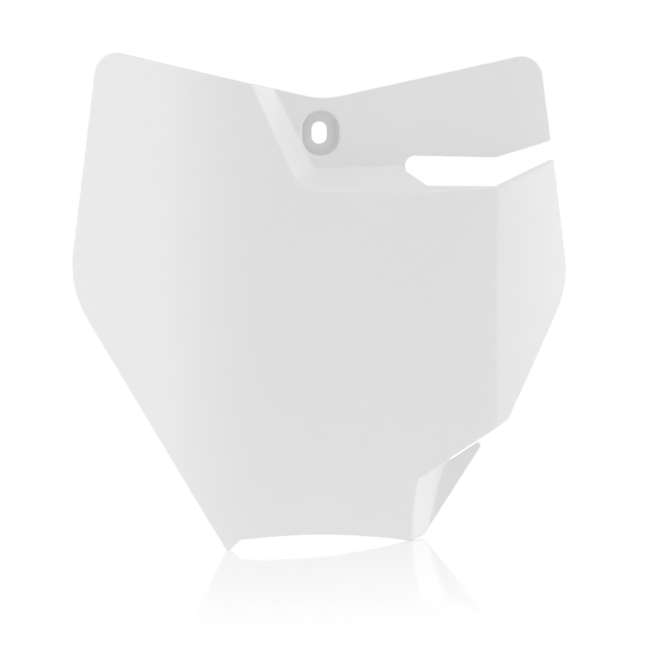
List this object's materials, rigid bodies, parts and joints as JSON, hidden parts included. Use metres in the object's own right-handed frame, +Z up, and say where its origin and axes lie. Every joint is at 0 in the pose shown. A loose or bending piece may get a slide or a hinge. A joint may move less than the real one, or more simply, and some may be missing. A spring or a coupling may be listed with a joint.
{
  "type": "racing number board",
  "caption": "White moulded front number board with a sunken hose bay, an open slot, a stepped lower tab, a swept wing and a cupped slotted screw hole.",
  "frame": {"origin": "centre of the slotted screw hole on the rear seat", "axes": "+X to the viewer's right, -Y out of the visible front, +Z up"},
  "size_m": [0.2504, 0.0343, 0.2478],
  "materials": {
    "white_plastic": "semi-gloss injection-moulded polypropylene"
  },
  "bodies": {
    "root": {"board": "white_plastic"}
  },
  "joints": []
}
